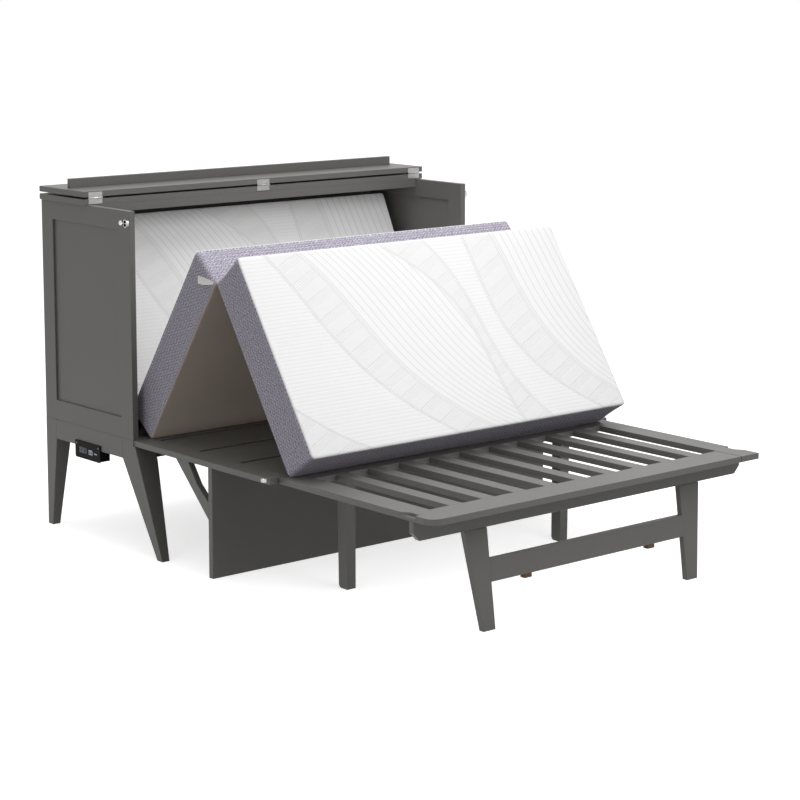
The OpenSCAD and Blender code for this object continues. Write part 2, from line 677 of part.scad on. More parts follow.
// Rounded rectangle drawn in by d: seven points round each corner and five along each side
arc_n = 7;
side_n = 5;
ring_n = 4 * (arc_n + side_n);
function corner_at(k, w, l, r, f, d) = let (a = 90 * (k + f), x = w / 2 - r, y = l / 2 - r)
  [(k == 0 || k == 3 ? x : -x) + (r - d) * cos(a), l / 2 + (k < 2 ? y : -y) + (r - d) * sin(a)];
function outline(w, l, d) = [for (k = [0:3]) each concat(
  [for (i = [0:arc_n - 1]) corner_at(k, w, l, mat_corner_r, i / (arc_n - 1), d)],
  [for (i = [1:side_n]) let (f = i / (side_n + 1))
    corner_at(k, w, l, mat_corner_r, 1, d) * (1 - f) + corner_at((k + 1) % 4, w, l, mat_corner_r, 0, d) * f])];
function face_ring(share, w, l, z) = [for (p = outline(w, l, mat_edge_r))
  [p[0] * share, l / 2 + (p[1] - l / 2) * share, z]];
function ring(w, l, d, z) = [for (p = outline(w, l, d)) [p[0], p[1], z]];
module mattress_block(l) {
  w = mat_w;
  t = mat_t;
  r = mat_edge_r;
  low_face = [for (s = face_shares) face_ring(s, w, l, 0)];
  low_edge = [for (i = [0:side_steps]) let (a = 90 * i / side_steps) ring(w, l, r * (1 - sin(a)), r * (1 - cos(a)))];
  waist = [ring(w, l, mat_waist, t / 2)];
  high_edge = [for (i = [0:side_steps]) let (a = 90 * i / side_steps)
    ring(w, l, r * (1 - cos(a)), t - r * (1 - sin(a)))];
  high_face = [for (i = [0:len(face_shares) - 1]) let (s = face_shares[len(face_shares) - 1 - i])
    face_ring(s, w, l, t + mat_crown * (1 - s * s))];
  rings = concat(low_face, low_edge, waist, high_edge, high_face);
  last = len(rings) - 1;
  points = concat([[0, l / 2, 0]], [for (g = rings) each g], [[0, l / 2, t + mat_crown]]);
  top = len(points) - 1;
  polyhedron(points, concat(
    [for (i = [0:ring_n - 1]) [0, 1 + i, 1 + (i + 1) % ring_n]],
    [for (k = [0:last - 1]) for (i = [0:ring_n - 1]) let (j = (i + 1) % ring_n, a = 1 + k * ring_n, b = a + ring_n)
      [a + i, b + i, b + j]],
    [for (k = [0:last - 1]) for (i = [0:ring_n - 1]) let (j = (i + 1) % ring_n, a = 1 + k * ring_n, b = a + ring_n)
      [a + i, b + j, a + j]],
    [for (i = [0:ring_n - 1]) [top, 1 + last * ring_n + (i + 1) % ring_n, 1 + last * ring_n + i]]));
}

// The mattress stands folded: head against the back panel, middle and foot as a tent
mat_mid_s = mid_s0 + mat_mid_in;
mat_foot_s = foot_s0 + mat_foot_in;
tent = mat_foot_s - mat_mid_s;
tent_c = (mat_mid_l * mat_mid_l + tent * tent - mat_foot_l * mat_foot_l) / (2 * mat_mid_l * tent);
lean_mid = asin(tent_c);
apex_s = mat_mid_s + mat_mid_l * tent_c;
apex_h = mat_mid_l * cos(lean_mid);
lean_foot = atan((mat_foot_s - apex_s) / apex_h);
// A rounded edge stands lower than its sharp corner would
function edge_drop(a) = mat_edge_r * (cos(a) + sin(a) - 1);
mat_z = deck_top + seat;
mid_z = mat_z - edge_drop(lean_mid);
foot_z = mat_z - edge_drop(lean_foot);
hinge_s = mat_mid_s - mat_t * cos(lean_mid);
hinge_z = mid_z + mat_t * sin(lean_mid);
head_l = mat_head_l - 2 * seat;
head_span = sqrt(head_l * head_l + mat_t * mat_t);
// Lean at which the head section's rear upper edge meets the back panel
function head_lean(drop) = asin((hinge_s - 2 * seat - back_t - seat + drop) / head_span) - atan(mat_t / head_l);
lean_head = head_lean(edge_drop(head_lean(0)));
module mattress_middle() color("white") place() translate([0, mat_mid_s, mid_z])
  rotate([90 - lean_mid, 0, 0]) mattress_block(mat_mid_l - 2 * seat);
module mattress_foot() color("white") place() translate([0, mat_foot_s, foot_z])
  mirror([0, 1, 0]) rotate([90 - lean_foot, 0, 0]) mattress_block(mat_foot_l - 2 * seat);
module mattress_head() color("white") place()
  translate([0, hinge_s - 2 * seat - mat_t * cos(lean_head), hinge_z - mat_t * sin(lean_head)])
  mirror([0, 1, 0]) rotate([90 - lean_head, 0, 0]) mattress_block(head_l);

side_frame("left");  // side_frame_left
side_frame("right");  // side_frame_right
side_infill("left");  // side_infill_left
side_infill("right");  // side_infill_right
side_apron("left");  // side_apron_left
side_apron("right");  // side_apron_right
front_leg("left");  // front_leg_left
front_leg("right");  // front_leg_right
back_leg("left");  // back_leg_left
back_leg("right");  // back_leg_right
front_apron();
back_apron();
back_panel();
head_deck();
top_board();
header_rail();
lid_hinge_fixed();
latch_boss("left");  // latch_boss_left
latch_boss("right");  // latch_boss_right
charger_housing();
charger_plate();
charger_sockets();
fold_hinge_fixed();
lid_board();
lid_cleat();
lid_hinge_moving();
latch_bolt("left");  // latch_bolt_left
latch_bolt("right");  // latch_bolt_right
mid_rail("left");  // mid_rail_left
mid_rail("right");  // mid_rail_right
mid_rear_rail();
mid_planks();
desk_panel();
desk_brace("left");  // desk_brace_left
desk_brace("right");  // desk_brace_right
catch_blocks();
fold_hinge_moving();
section_hinge_fixed();
foot_rail_left();
foot_rail_right();
foot_rear_rail();
foot_slats();
foot_end_board();
foot_apron();
section_hinge_moving();
foot_leg_hinge_fixed();
mid_leg_hinge_fixed();
foot_leg("left");  // foot_leg_left
foot_leg("right");  // foot_leg_right
foot_stretcher();
stretcher_blocks();
foot_leg_hinge_moving();
mid_leg("left");  // mid_leg_left
mid_leg("right");  // mid_leg_right
mid_leg_hinge("left");  // mid_leg_hinge_left
mid_leg_hinge("right");  // mid_leg_hinge_right
mattress_head();
mattress_middle();
mattress_foot();
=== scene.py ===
import json
import math

import bpy
from bpy.props import FloatProperty, FloatVectorProperty, PointerProperty
from mathutils import Matrix, Vector, noise


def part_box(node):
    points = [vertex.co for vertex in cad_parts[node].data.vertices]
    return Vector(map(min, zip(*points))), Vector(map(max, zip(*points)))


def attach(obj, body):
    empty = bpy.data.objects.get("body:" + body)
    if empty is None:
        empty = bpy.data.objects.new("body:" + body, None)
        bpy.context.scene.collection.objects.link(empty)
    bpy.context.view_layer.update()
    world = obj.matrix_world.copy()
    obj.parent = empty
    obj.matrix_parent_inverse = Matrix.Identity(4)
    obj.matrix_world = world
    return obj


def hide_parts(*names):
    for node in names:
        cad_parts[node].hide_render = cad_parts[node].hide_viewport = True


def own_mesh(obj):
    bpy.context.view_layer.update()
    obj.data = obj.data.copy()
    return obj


bl_info = {
    "name": "Cabinet bed",
    "version": (1, 0, 0),
    "blender": (4, 5, 0),
    "location": "3D View > Sidebar > Cabinet bed",
    "description": "Dresses the cabinet bed's frame with paint, metal, fabric and small fittings",
    "category": "Object",
}

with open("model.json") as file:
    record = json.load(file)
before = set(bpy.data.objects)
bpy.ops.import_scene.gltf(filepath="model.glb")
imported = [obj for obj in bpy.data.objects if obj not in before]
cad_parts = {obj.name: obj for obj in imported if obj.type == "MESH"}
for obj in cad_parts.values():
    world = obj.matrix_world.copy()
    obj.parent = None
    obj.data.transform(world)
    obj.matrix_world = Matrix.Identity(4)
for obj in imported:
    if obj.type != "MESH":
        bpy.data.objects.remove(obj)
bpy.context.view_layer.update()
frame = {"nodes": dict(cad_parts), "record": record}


# Colours and places

def tint(red, green, blue):
    """Screen values from 0 to 255 as the linear colour a shader takes."""
    share = [v / 255 for v in (red, green, blue)]
    return tuple(v / 12.92 if v <= 0.04045 else ((v + 0.055) / 1.055) ** 2.4 for v in share)


def shade(colour, factor):
    """A colour made darker or lighter, ready for a colour socket."""
    return tuple(v * factor for v in colour[:3]) + (1.0,)


# Positions are written as across, forward from the cabinet's back, and up, as in the part's source
BACK = 1.035


def spot(across, forward, up):
    return Vector((across, BACK - forward, up))


# Sizes that a user would change

class BedPaint(bpy.types.PropertyGroup):
    paint: FloatVectorProperty(
        name="Paint", description="Colour of the painted boards and legs",
        subtype="COLOR", size=3, min=0, max=1, default=tint(99, 98, 95))
    gloss: FloatProperty(
        name="Paint roughness", description="Roughness of the satin paint",
        subtype="FACTOR", min=0, max=1, default=0.42)
    arris: FloatProperty(
        name="Arris", description="Rounding of the boards' sharp edges",
        subtype="DISTANCE", unit="LENGTH", min=0, max=0.003, default=0.0013)
    block_wood: FloatVectorProperty(
        name="Block wood", description="Colour of the unpainted blocks under the stretcher",
        subtype="COLOR", size=3, min=0, max=1, default=tint(84, 54, 10))


class BedMetal(bpy.types.PropertyGroup):
    nickel: FloatVectorProperty(
        name="Nickel", description="Colour of the hinges, latches and screws",
        subtype="COLOR", size=3, min=0, max=1, default=tint(214, 214, 212))
    screw_radius: FloatProperty(
        name="Screw radius", description="Radius of a hinge screw's head",
        subtype="DISTANCE", unit="LENGTH", min=0.001, max=0.005, default=0.0028)


class BedCharger(bpy.types.PropertyGroup):
    shell: FloatVectorProperty(
        name="Shell", description="Colour of the charging station's face plate and housing",
        subtype="COLOR", size=3, min=0, max=1, default=tint(9, 9, 10))
    outlet: FloatVectorProperty(
        name="Outlets", description="Colour of the outlet block",
        subtype="COLOR", size=3, min=0, max=1, default=tint(62, 63, 66))
    ports: FloatVectorProperty(
        name="Ports", description="Colour of the charging ports' block",
        subtype="COLOR", size=3, min=0, max=1, default=tint(205, 216, 228))


class BedMattress(bpy.types.PropertyGroup):
    cover: FloatVectorProperty(
        name="Cover", description="Colour of the knitted upper face",
        subtype="COLOR", size=3, min=0, max=1, default=tint(236, 236, 236))
    border: FloatVectorProperty(
        name="Border", description="Colour of the mottled border",
        subtype="COLOR", size=3, min=0, max=1, default=tint(166, 162, 175))
    underside: FloatVectorProperty(
        name="Underside", description="Colour of the smooth lower face",
        subtype="COLOR", size=3, min=0, max=1, default=tint(216, 202, 190))
    crown: FloatProperty(
        name="Crown", description="Rise of the upper face in its middle",
        subtype="DISTANCE", unit="LENGTH", min=0, max=0.006, default=0.0048)
    rib_pitch: FloatProperty(
        name="Rib pitch", description="Distance between the fine ribs of the cover",
        subtype="DISTANCE", unit="LENGTH", min=0.006, max=0.03, default=0.013)
    line_pitch: FloatProperty(
        name="Line pitch", description="Distance between the long curved lines of the cover",
        subtype="DISTANCE", unit="LENGTH", min=0.02, max=0.08, default=0.031)
    rung_pitch: FloatProperty(
        name="Rung pitch", description="Distance between the groups of cross lines in the bands",
        subtype="DISTANCE", unit="LENGTH", min=0.04, max=0.16, default=0.079)


class BedStage(bpy.types.PropertyGroup):
    zenith: FloatProperty(
        name="Zenith", description="Strength of the even light from straight above",
        min=0, max=3, default=0.80)
    horizon: FloatProperty(
        name="Horizon", description="Strength of the even light from the sides",
        min=0, max=3, default=0.21)
    key: FloatProperty(
        name="Key lamp", description="Power of the large lamp high in front",
        subtype="POWER", unit="POWER", min=0, max=2000, default=25)
    side: FloatProperty(
        name="Side lamp", description="Power of the large lamp at the left",
        subtype="POWER", unit="POWER", min=0, max=2000, default=40)
    top: FloatProperty(
        name="Top lamp", description="Power of the large lamp overhead",
        subtype="POWER", unit="POWER", min=0, max=2000, default=82)
    lens: FloatProperty(
        name="Lens", description="Focal length of the camera",
        subtype="DISTANCE_CAMERA", min=20, max=200, default=102.1)


# Shader nodes written as expressions

class Wire:
    """A socket that carries a value, vector or colour, on which arithmetic adds Math nodes."""

    def __init__(self, finish, socket):
        self.finish = finish
        self.socket = socket

    def __add__(self, other):
        return self.finish.maths("ADD", self, other)

    def __radd__(self, other):
        return self.finish.maths("ADD", other, self)

    def __sub__(self, other):
        return self.finish.maths("SUBTRACT", self, other)

    def __rsub__(self, other):
        return self.finish.maths("SUBTRACT", other, self)

    def __mul__(self, other):
        return self.finish.maths("MULTIPLY", self, other)

    def __rmul__(self, other):
        return self.finish.maths("MULTIPLY", other, self)

    def __truediv__(self, other):
        return self.finish.maths("DIVIDE", self, other)

    def __gt__(self, other):
        return self.finish.maths("GREATER_THAN", self, other)

    def __lt__(self, other):
        return self.finish.maths("LESS_THAN", self, other)

    def __mod__(self, other):
        return self.finish.maths("FLOORED_MODULO", self, other)

    def __abs__(self):
        return self.finish.maths("ABSOLUTE", self)


class Node:
    """A shader node whose outputs are taken by name or number."""

    def __init__(self, finish, node):
        self.finish = finish
        self.node = node

    def __getitem__(self, key):
        return Wire(self.finish, self.node.outputs[key])


def named(sockets):
    """Python names of shader inputs as the names on the shader."""
    return {key.replace("_", " ").title().replace("Ior", "IOR"): value for key, value in sockets.items()}


class Plot:
    """A node tree under construction, of a material or of the world."""

    def __init__(self, tree):
        self.tree = tree
        tree.nodes.clear()

    def node(self, kind, settings=None, sockets=None):
        node = self.tree.nodes.new(kind)
        for key, value in (settings or {}).items():
            setattr(node, key, value)
        made = Node(self, node)
        self.feed(made, sockets or {})
        return made

    def feed(self, made, sockets):
        for key, value in sockets.items():
            if isinstance(value, Wire):
                self.tree.links.new(value.socket, made.node.inputs[key])
            else:
                made.node.inputs[key].default_value = value

    def maths(self, operation, *values):
        return self.node("ShaderNodeMath", {"operation": operation}, dict(enumerate(values)))["Value"]

    def mix(self, factor, low, high):
        return self.node("ShaderNodeMix", {"data_type": "RGBA"}, {0: factor, 6: low, 7: high})[2]

    def place(self, scale=(1, 1, 1)):
        coords = self.node("ShaderNodeTexCoord")["Object"]
        return self.node("ShaderNodeMapping", sockets={"Vector": coords, "Scale": scale})["Vector"]

    def grain(self, where, scale, detail=2.0, roughness=0.5):
        return self.node("ShaderNodeTexNoise", sockets={
            "Vector": where, "Scale": scale, "Detail": detail, "Roughness": roughness})["Fac"]

    def wave(self, value):
        """A sine of the value, from 0 to 1."""
        return self.maths("SINE", value) * 0.5 + 0.5

    def line(self, distance, half_width):
        """1 on a line, falling to 0 at its half width."""
        return self.node("ShaderNodeMapRange", {"interpolation_type": "SMOOTHSTEP"}, {
            "Value": abs(distance), "From Min": half_width, "From Max": half_width * 0.25,
            "To Min": 0.0, "To Max": 1.0})["Result"]

    def ramp(self, value, low, high):
        """0 below low, 1 above high, smooth between."""
        return self.node("ShaderNodeMapRange", {"interpolation_type": "SMOOTHSTEP"}, {
            "Value": value, "From Min": low, "From Max": high, "To Min": 0.0, "To Max": 1.0})["Result"]

    def relief(self, height, distance, strength=1.0):
        return self.node("ShaderNodeBump", sockets={
            "Strength": strength, "Distance": distance, "Height": height})["Normal"]

    def unlit_rays(self):
        """1 for the rays that see a background directly, in a mirror or through glass."""
        rays = self.node("ShaderNodeLightPath")
        return self.maths("MAXIMUM", rays["Is Camera Ray"],
                          self.maths("MAXIMUM", rays["Is Glossy Ray"], rays["Is Transmission Ray"]))


class Finish(Plot):
    """A material under construction, with one Principled shader."""

    def __init__(self, name, **fixed):
        self.material = bpy.data.materials.new(name)
        self.material.use_nodes = True
        super().__init__(self.material.node_tree)
        self.shader = self.node("ShaderNodeBsdfPrincipled", sockets=named(fixed))
        self.node("ShaderNodeOutputMaterial", sockets={"Surface": self.shader["BSDF"]})

    def surface(self, **sockets):
        self.feed(self.shader, named(sockets))
        return self.material


def painted_wood(settings, along):
    """Satin paint over board, with the board's length along one axis for the faint grain."""
    name = "painted_wood_" + "xyz"[along]
    if name in bpy.data.materials:
        return bpy.data.materials[name]
    f = Finish(name, ior=1.45)
    stretched = [34.0, 34.0, 34.0]
    stretched[along] = 1.6
    cloud = f.grain(f.place(), 2.6, 3.0)
    fibre = f.grain(f.place(stretched), 6.0, 4.0, 0.6)
    peel = f.grain(f.place(), 520.0, 2.0)
    tone = cloud * 0.65 + fibre * 0.35
    colour = f.mix(tone, shade(settings.paint, 0.93), shade(settings.paint, 1.07))
    rough = fibre * 0.10 + peel * 0.06 + (settings.gloss - 0.08)
    return f.surface(base_color=colour, roughness=rough,
                     normal=f.relief(peel * 0.4 + fibre * 0.6, 0.00018, 0.6))


def block_wood(settings):
    f = Finish("block_wood", ior=1.45)
    rings = f.wave(f.grain(f.place((30, 4, 30)), 3.0, 3.0) * 60.0)
    fibre = f.grain(f.place((160, 12, 160)), 4.0, 3.0)
    tone = rings * 0.5 + fibre * 0.5
    colour = f.mix(tone, shade(settings.block_wood, 0.62), shade(settings.block_wood, 1.15))
    return f.surface(base_color=colour, roughness=fibre * 0.2 + 0.45, normal=f.relief(fibre, 0.0003, 0.7))


def nickel(settings, name="nickel", rough=0.2, level=1.0):
    """Plated metal with faint brushing along the boards' edges."""
    f = Finish(name)
    brushed = f.grain(f.place((20, 20, 900)), 3.0, 2.0)
    cloud = f.grain(f.place(), 90.0, 2.0)
    colour = f.mix(cloud, shade(settings.nickel, 0.72 * level), shade(settings.nickel, 1.1 * level))
    return f.surface(base_color=colour, metallic=1.0, roughness=brushed * 0.16 + cloud * 0.08 + rough,
                     normal=f.relief(brushed, 0.00008, 0.5))


def moulded(name, colour, rough, shine=0.35):
    """Moulded plastic with a fine spark-eroded texture."""
    f = Finish(name, ior=1.49, specular_ior_level=shine)
    speck = f.grain(f.place(), 1400.0, 2.0)
    cloud = f.grain(f.place(), 40.0, 2.0)
    tone = f.mix(cloud, shade(colour, 0.9), shade(colour, 1.1))
    return f.surface(base_color=tone, roughness=speck * 0.12 + rough, normal=f.relief(speck, 0.00006, 0.8))


def satin_ribbon():
    f = Finish("satin_ribbon", sheen_weight=0.4, sheen_roughness=0.3)
    yarn = f.wave(f.node("ShaderNodeSeparateXYZ", sockets={0: f.place()})["Z"] * 9000.0)
    cloud = f.grain(f.place(), 120.0, 2.0)
    tone = yarn * 0.4 + cloud * 0.6
    colour = f.mix(tone, shade(tint(244, 243, 238), 0.95), shade(tint(250, 249, 245), 1.0))
    return f.surface(base_color=colour, roughness=cloud * 0.15 + 0.35, normal=f.relief(yarn, 0.0001, 0.6))


# The cover's curved seams: how far across each is, as a cubic of the height over the face's height
SEAMS = (
    (0.6226, -1.1516, 1.1888, -0.559),
    (0.774, -1.2078, 1.3951, -0.7314),
    (0.917, -0.3014, 0.7153, -0.7608),
    (1.047, -0.6608, 1.0473, -0.6585),
    (1.2928, -1.1706, 1.4087, -0.5694),
    (1.4554, -1.1049, 1.2306, -0.4873),
)
RUNG_SLOPE = 0.457
THICKNESS = 0.144
FACE_L = 0.7


def mattress_fabric(settings, name, shift):
    """White knit above, mottled border round the sides and smooth cloth below, placed on the flat cover."""
    f = Finish(name, sheen_weight=0.12, sheen_roughness=0.5, ior=1.4)
    flat = f.node("ShaderNodeAttribute", {"attribute_name": "flat"})["Vector"]
    parts = f.node("ShaderNodeSeparateXYZ", sockets={0: flat})
    across, along, height = parts["X"] - shift, parts["Y"], parts["Z"]

    # Knitted upper face
    x = along / FACE_L
    past = []
    for a, b, c, d in SEAMS:
        past.append(across - (((x * d + c) * x + b) * x + a))
    sweep = along - ((across * 1.15 - 0.98) * across + 0.172)
    bands = (past[0] > 0) * (past[1] < 0) + (past[2] > 0) * (past[3] < 0) + (past[4] > 0) * (past[5] < 0)
    bands = bands + (sweep < 0) * (across < 0.4)
    edge = f.maths("MAXIMUM", f.line(sweep + 0.003, 0.0024), f.line(sweep - 0.003, 0.0024)) * (across < 0.4)
    for wire in past:
        for off in (-0.0045, 0.0045):
            edge = f.maths("MAXIMUM", edge, f.line(wire + off, 0.0026))
    ribs = f.line((along % settings.rib_pitch) - settings.rib_pitch / 2, 0.0034)
    ribbed = (past[0] < 0) + (past[3] > 0) * (past[4] < 0)
    lines_left = f.line((past[1] % settings.line_pitch) - settings.line_pitch / 2, 0.0030)
    lines_right = f.line((past[5] % settings.line_pitch) - settings.line_pitch / 2, 0.0030)
    lined = (past[1] > 0) * (past[2] < 0) * lines_left + (past[5] > 0) * lines_right
    rung = (along - across * RUNG_SLOPE) % settings.rung_pitch / settings.rung_pitch
    group = rung < 0.46
    threads = f.line((rung % 0.092) - 0.046, 0.026) * group * 0.75
    panel = (1 - group) * bands
    weave = f.wave((along - across * RUNG_SLOPE) * 2600.0) * panel
    drawn = f.maths("MAXIMUM", edge, f.maths("MAXIMUM", threads * bands, lined))
    drawn = f.maths("MAXIMUM", drawn, ribs * ribbed * (1 - bands) * 0.26)
    loops = f.grain(flat, 1500.0, 1.0)
    cloud = f.grain(flat, 14.0, 2.0)
    white = f.mix(cloud * 0.5 + loops * 0.5, shade(settings.cover, 0.97), shade(settings.cover, 1.03))
    white = f.mix(panel * 0.24, white, shade(settings.cover, 0.86))
    # The drawn lines (seam edges, curved lines, threads and ribs) are darkened here: painted shade in the
    # knit's pressed-in lines, which the relief below also sinks
    white = f.mix(drawn, white, shade(settings.cover, 0.83))
    white_height = loops * 0.12 + weave * 0.2 + (1 - drawn) * 0.7 + panel * 0.4

    # Mottled border with its small zigzag
    round_side = parts["X"] + parts["Y"]
    zig = abs((round_side % 0.0150) - 0.0075)
    rows = ((height + zig) % 0.0125) / 0.0125
    zigzag = f.ramp(abs(rows - 0.5), 0.14, 0.30)
    broken = f.ramp(f.grain(flat, 120.0, 2.0), 0.42, 0.58)
    melange = f.ramp(f.grain(flat, 190.0, 3.0, 0.7), 0.36, 0.64)
    patch = f.grain(flat, 30.0, 2.0)
    tone = zigzag * (broken * 0.5 + 0.5) * 0.46 + melange * 0.42 + patch * 0.12
    mottled = f.mix(tone, shade(settings.border, 0.42), shade(settings.border, 1.68))
    mottled_height = zigzag * 0.5 + melange * 0.5

    # Smooth lower face
    drift = f.grain(flat, 5.0, 3.0)
    knit = f.wave(parts["X"] * 5200.0) * f.wave(parts["Y"] * 5200.0)
    plain = f.mix(drift * 0.7 + knit * 0.3, shade(settings.underside, 0.92), shade(settings.underside, 1.08))

    fray = f.grain(flat, 420.0, 3.0, 0.7) * 0.010 - 0.005
    upper = f.ramp(height + fray, THICKNESS - 0.0058, THICKNESS - 0.0040)
    lower = 1 - f.ramp(height + fray * 0.3, 0.0016, 0.0026)
    colour = f.mix(upper, mottled, white)
    colour = f.mix(lower, colour, plain)
    relief = upper * white_height + (1 - upper) * (1 - lower) * mottled_height + lower * knit * 0.2
    return f.surface(base_color=colour, roughness=0.86 - lower * 0.26, normal=f.relief(relief, 0.0010, 0.75))


# Work on meshes

def deselect():
    if bpy.context.object and bpy.context.object.mode != "OBJECT":
        bpy.ops.object.mode_set(mode="OBJECT")
    bpy.ops.object.select_all(action="DESELECT")


def picked(obj):
    deselect()
    obj.select_set(True)
    bpy.context.view_layer.objects.active = obj
    return obj


def fresh(name):
    """The primitive that was just added, under its own name."""
    obj = bpy.context.object
    obj.name = name
    obj.data.name = name
    return obj


def pick_faces(obj, test):
    """In edit mode, selects the faces whose middle and normal pass the test."""
    bpy.ops.object.mode_set(mode="EDIT")
    bpy.ops.mesh.select_mode(type="FACE")
    bpy.ops.mesh.select_all(action="DESELECT")
    bpy.ops.object.mode_set(mode="OBJECT")
    for face in obj.data.polygons:
        face.select = bool(test(face.center, face.normal))
    bpy.ops.object.mode_set(mode="EDIT")


def settle(obj, matrix=None):
    """Puts the object's place into its mesh, outward faces and smooth shading up to a sharp angle."""
    picked(obj)
    if matrix is not None:
        obj.matrix_world = matrix @ obj.matrix_world
    bpy.ops.object.transform_apply(location=True, rotation=True, scale=True)
    bpy.ops.object.mode_set(mode="EDIT")
    bpy.ops.mesh.select_all(action="SELECT")
    bpy.ops.mesh.remove_doubles(threshold=0.000001)
    bpy.ops.mesh.normals_make_consistent(inside=False)
    bpy.ops.object.mode_set(mode="OBJECT")
    bpy.ops.object.shade_smooth_by_angle(angle=math.radians(35))
    return obj


def stood(where, degrees, axis):
    """The move that turns a piece made along Z and puts it at its place."""
    return Matrix.Translation(where) @ Matrix.Rotation(math.radians(degrees), 4, axis)


def rounding(obj, name, width):
    """A bevel on every sharp edge, not yet applied."""
    bevel = obj.modifiers.new(name, "BEVEL")
    bevel.width = width
    bevel.segments = 2
    bevel.limit_method = "ANGLE"
    bevel.angle_limit = math.radians(40)
    return bevel


def harden(obj, width):
    """Rounds every sharp edge of a rigid piece and applies the rounding."""
    picked(obj)
    bpy.ops.object.modifier_apply(modifier=rounding(obj, "edges", width).name)


def refine(obj):
    """One level of subdivision, applied."""
    picked(obj)
    finer = obj.modifiers.new("finer", "SUBSURF")
    finer.levels = finer.render_levels = 1
    bpy.ops.object.modifier_apply(modifier=finer.name)


def twin(obj, name, matrix):
    """A copy with its own mesh, moved by the matrix."""
    copy = obj.copy()
    copy.data = obj.data.copy()
    copy.name = copy.data.name = name
    bpy.context.scene.collection.objects.link(copy)
    copy.data.transform(matrix)
    if matrix.determinant() < 0:
        copy.data.flip_normals()
    return copy


def join(pieces, name):
    """The first piece with all the others in its mesh."""
    deselect()
    for obj in pieces:
        obj.select_set(True)
    bpy.context.view_layer.objects.active = pieces[0]
    bpy.ops.object.join()
    return fresh(name)


def coat(obj, *materials):
    """Puts these materials on the piece and no others."""
    obj.data.materials.clear()
    for material in materials:
        obj.data.materials.append(material)


def dress(obj, material, body):
    coat(obj, material)
    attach(obj, body)
    return obj


# The start of every painted node's name
PAINTED = (
    "side_frame", "side_infill", "side_apron", "front_leg", "back_leg", "front_apron", "back_apron",
    "back_panel", "head_deck", "top_board", "header_rail", "lid_board", "lid_cleat", "mid_rail",
    "mid_rear_rail", "mid_planks", "desk_panel", "desk_brace", "foot_rail", "foot_rear_rail",
    "foot_slats", "foot_end_board", "foot_apron", "foot_leg_left", "foot_leg_right",
    "foot_stretcher", "mid_leg_left", "mid_leg_right",
)


def long_axis(node):
    """The axis of a node's longest side, along which its faint grain runs."""
    low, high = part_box(node)
    size = high - low
    return max(range(3), key=lambda i: size[i])


class BED_OT_paint(bpy.types.Operator):
    """Paints the boards and legs and eases their edges"""

    bl_idname = "bed.paint"
    bl_label = "Paint boards"

    def execute(self, context):
        settings = context.scene.bed_paint
        slots = {m["slot"] for m in frame["record"]["materials"]}
        if "painted_wood" not in slots:
            raise RuntimeError("the packed record has no painted_wood slot")
        for name, obj in frame["nodes"].items():
            if not name.startswith(PAINTED):
                continue
            coat(obj, painted_wood(settings, long_axis(name)))
            obj.modifiers.new("weld", "WELD").merge_threshold = 0.00001
            rounding(obj, "arris", settings.arris)
            obj.modifiers.new("shading", "WEIGHTED_NORMAL").keep_sharp = True
        coat(frame["nodes"]["stretcher_blocks"], block_wood(settings))
        return {"FINISHED"}


# The lid's butt hinges: the face that their leaves lie on, the leaves, and the screws round each pin
LEAVES_ON = 0.297
LEAF = 0.0015
SCREW_SUNK = 0.00045
PIN_DROP = 0.0035
SCREW_ROW = 0.0125
SCREW_SIDE = 0.018
HINGE_HALF = 0.028
KNUCKLE_HALF = 0.009


class BED_OT_hinges(bpy.types.Operator):
    """Plates the hinges and drives their screws"""

    bl_idname = "bed.hinges"
    bl_label = "Hinges and screws"

    def execute(self, context):
        settings = context.scene.bed_metal
        metal = nickel(settings, level=0.62)
        # The knuckles keep the full nickel colour while the leaves are dimmed: a painted highlight on the
        # curved knuckles
        knuckle_glint = nickel(settings, "knuckle_nickel", 0.12, 1.0)
        low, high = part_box("lid_hinge_fixed")
        middles = (low.x + HINGE_HALF, 0.0, high.x - HINGE_HALF)
        for name, obj in frame["nodes"].items():
            if "_hinge" in name:
                coat(obj, metal, knuckle_glint)
                for face in obj.data.polygons:
                    # Curved faces near each hinge's middle take the knuckles' painted highlight
                    curved = max(abs(n) for n in face.normal) < 0.98
                    off = min(abs(face.center.x - m) for m in middles)
                    face.material_index = int(curved and off < KNUCKLE_HALF)
        screw = self.screw(settings.screw_radius)
        top_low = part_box("lid_board")[0].z
        face = BACK - LEAVES_ON - LEAF + SCREW_SUNK
        rows = (("cabinet", -SCREW_ROW, "hinge_screws_case"), ("lid", SCREW_ROW, "hinge_screws_lid"))
        for body, up, name in rows:
            made = []
            for middle in middles:
                for side in (-SCREW_SIDE, SCREW_SIDE):
                    where = Vector((middle + side, face, top_low - PIN_DROP + up))
                    made.append(twin(screw, name, Matrix.Translation(where)))
            piece = join(made, name)
            dress(piece, metal, body)
        bpy.data.objects.remove(screw)
        return {"FINISHED"}

    def screw(self, radius):
        """A domed head with a cross slot, facing the front."""
        deselect()
        bpy.ops.mesh.primitive_cylinder_add(vertices=20, radius=radius, depth=0.0008)
        head = fresh("screw")
        pick_faces(head, lambda c, n: n.z > 0.9)
        bpy.ops.mesh.inset(thickness=radius * 0.35)
        bpy.ops.transform.translate(value=(0, 0, 0.0004))
        bpy.ops.mesh.inset(thickness=radius * 0.35)
        bpy.ops.transform.translate(value=(0, 0, -0.0004))
        return settle(head, Matrix.Rotation(math.radians(90), 4, "X"))


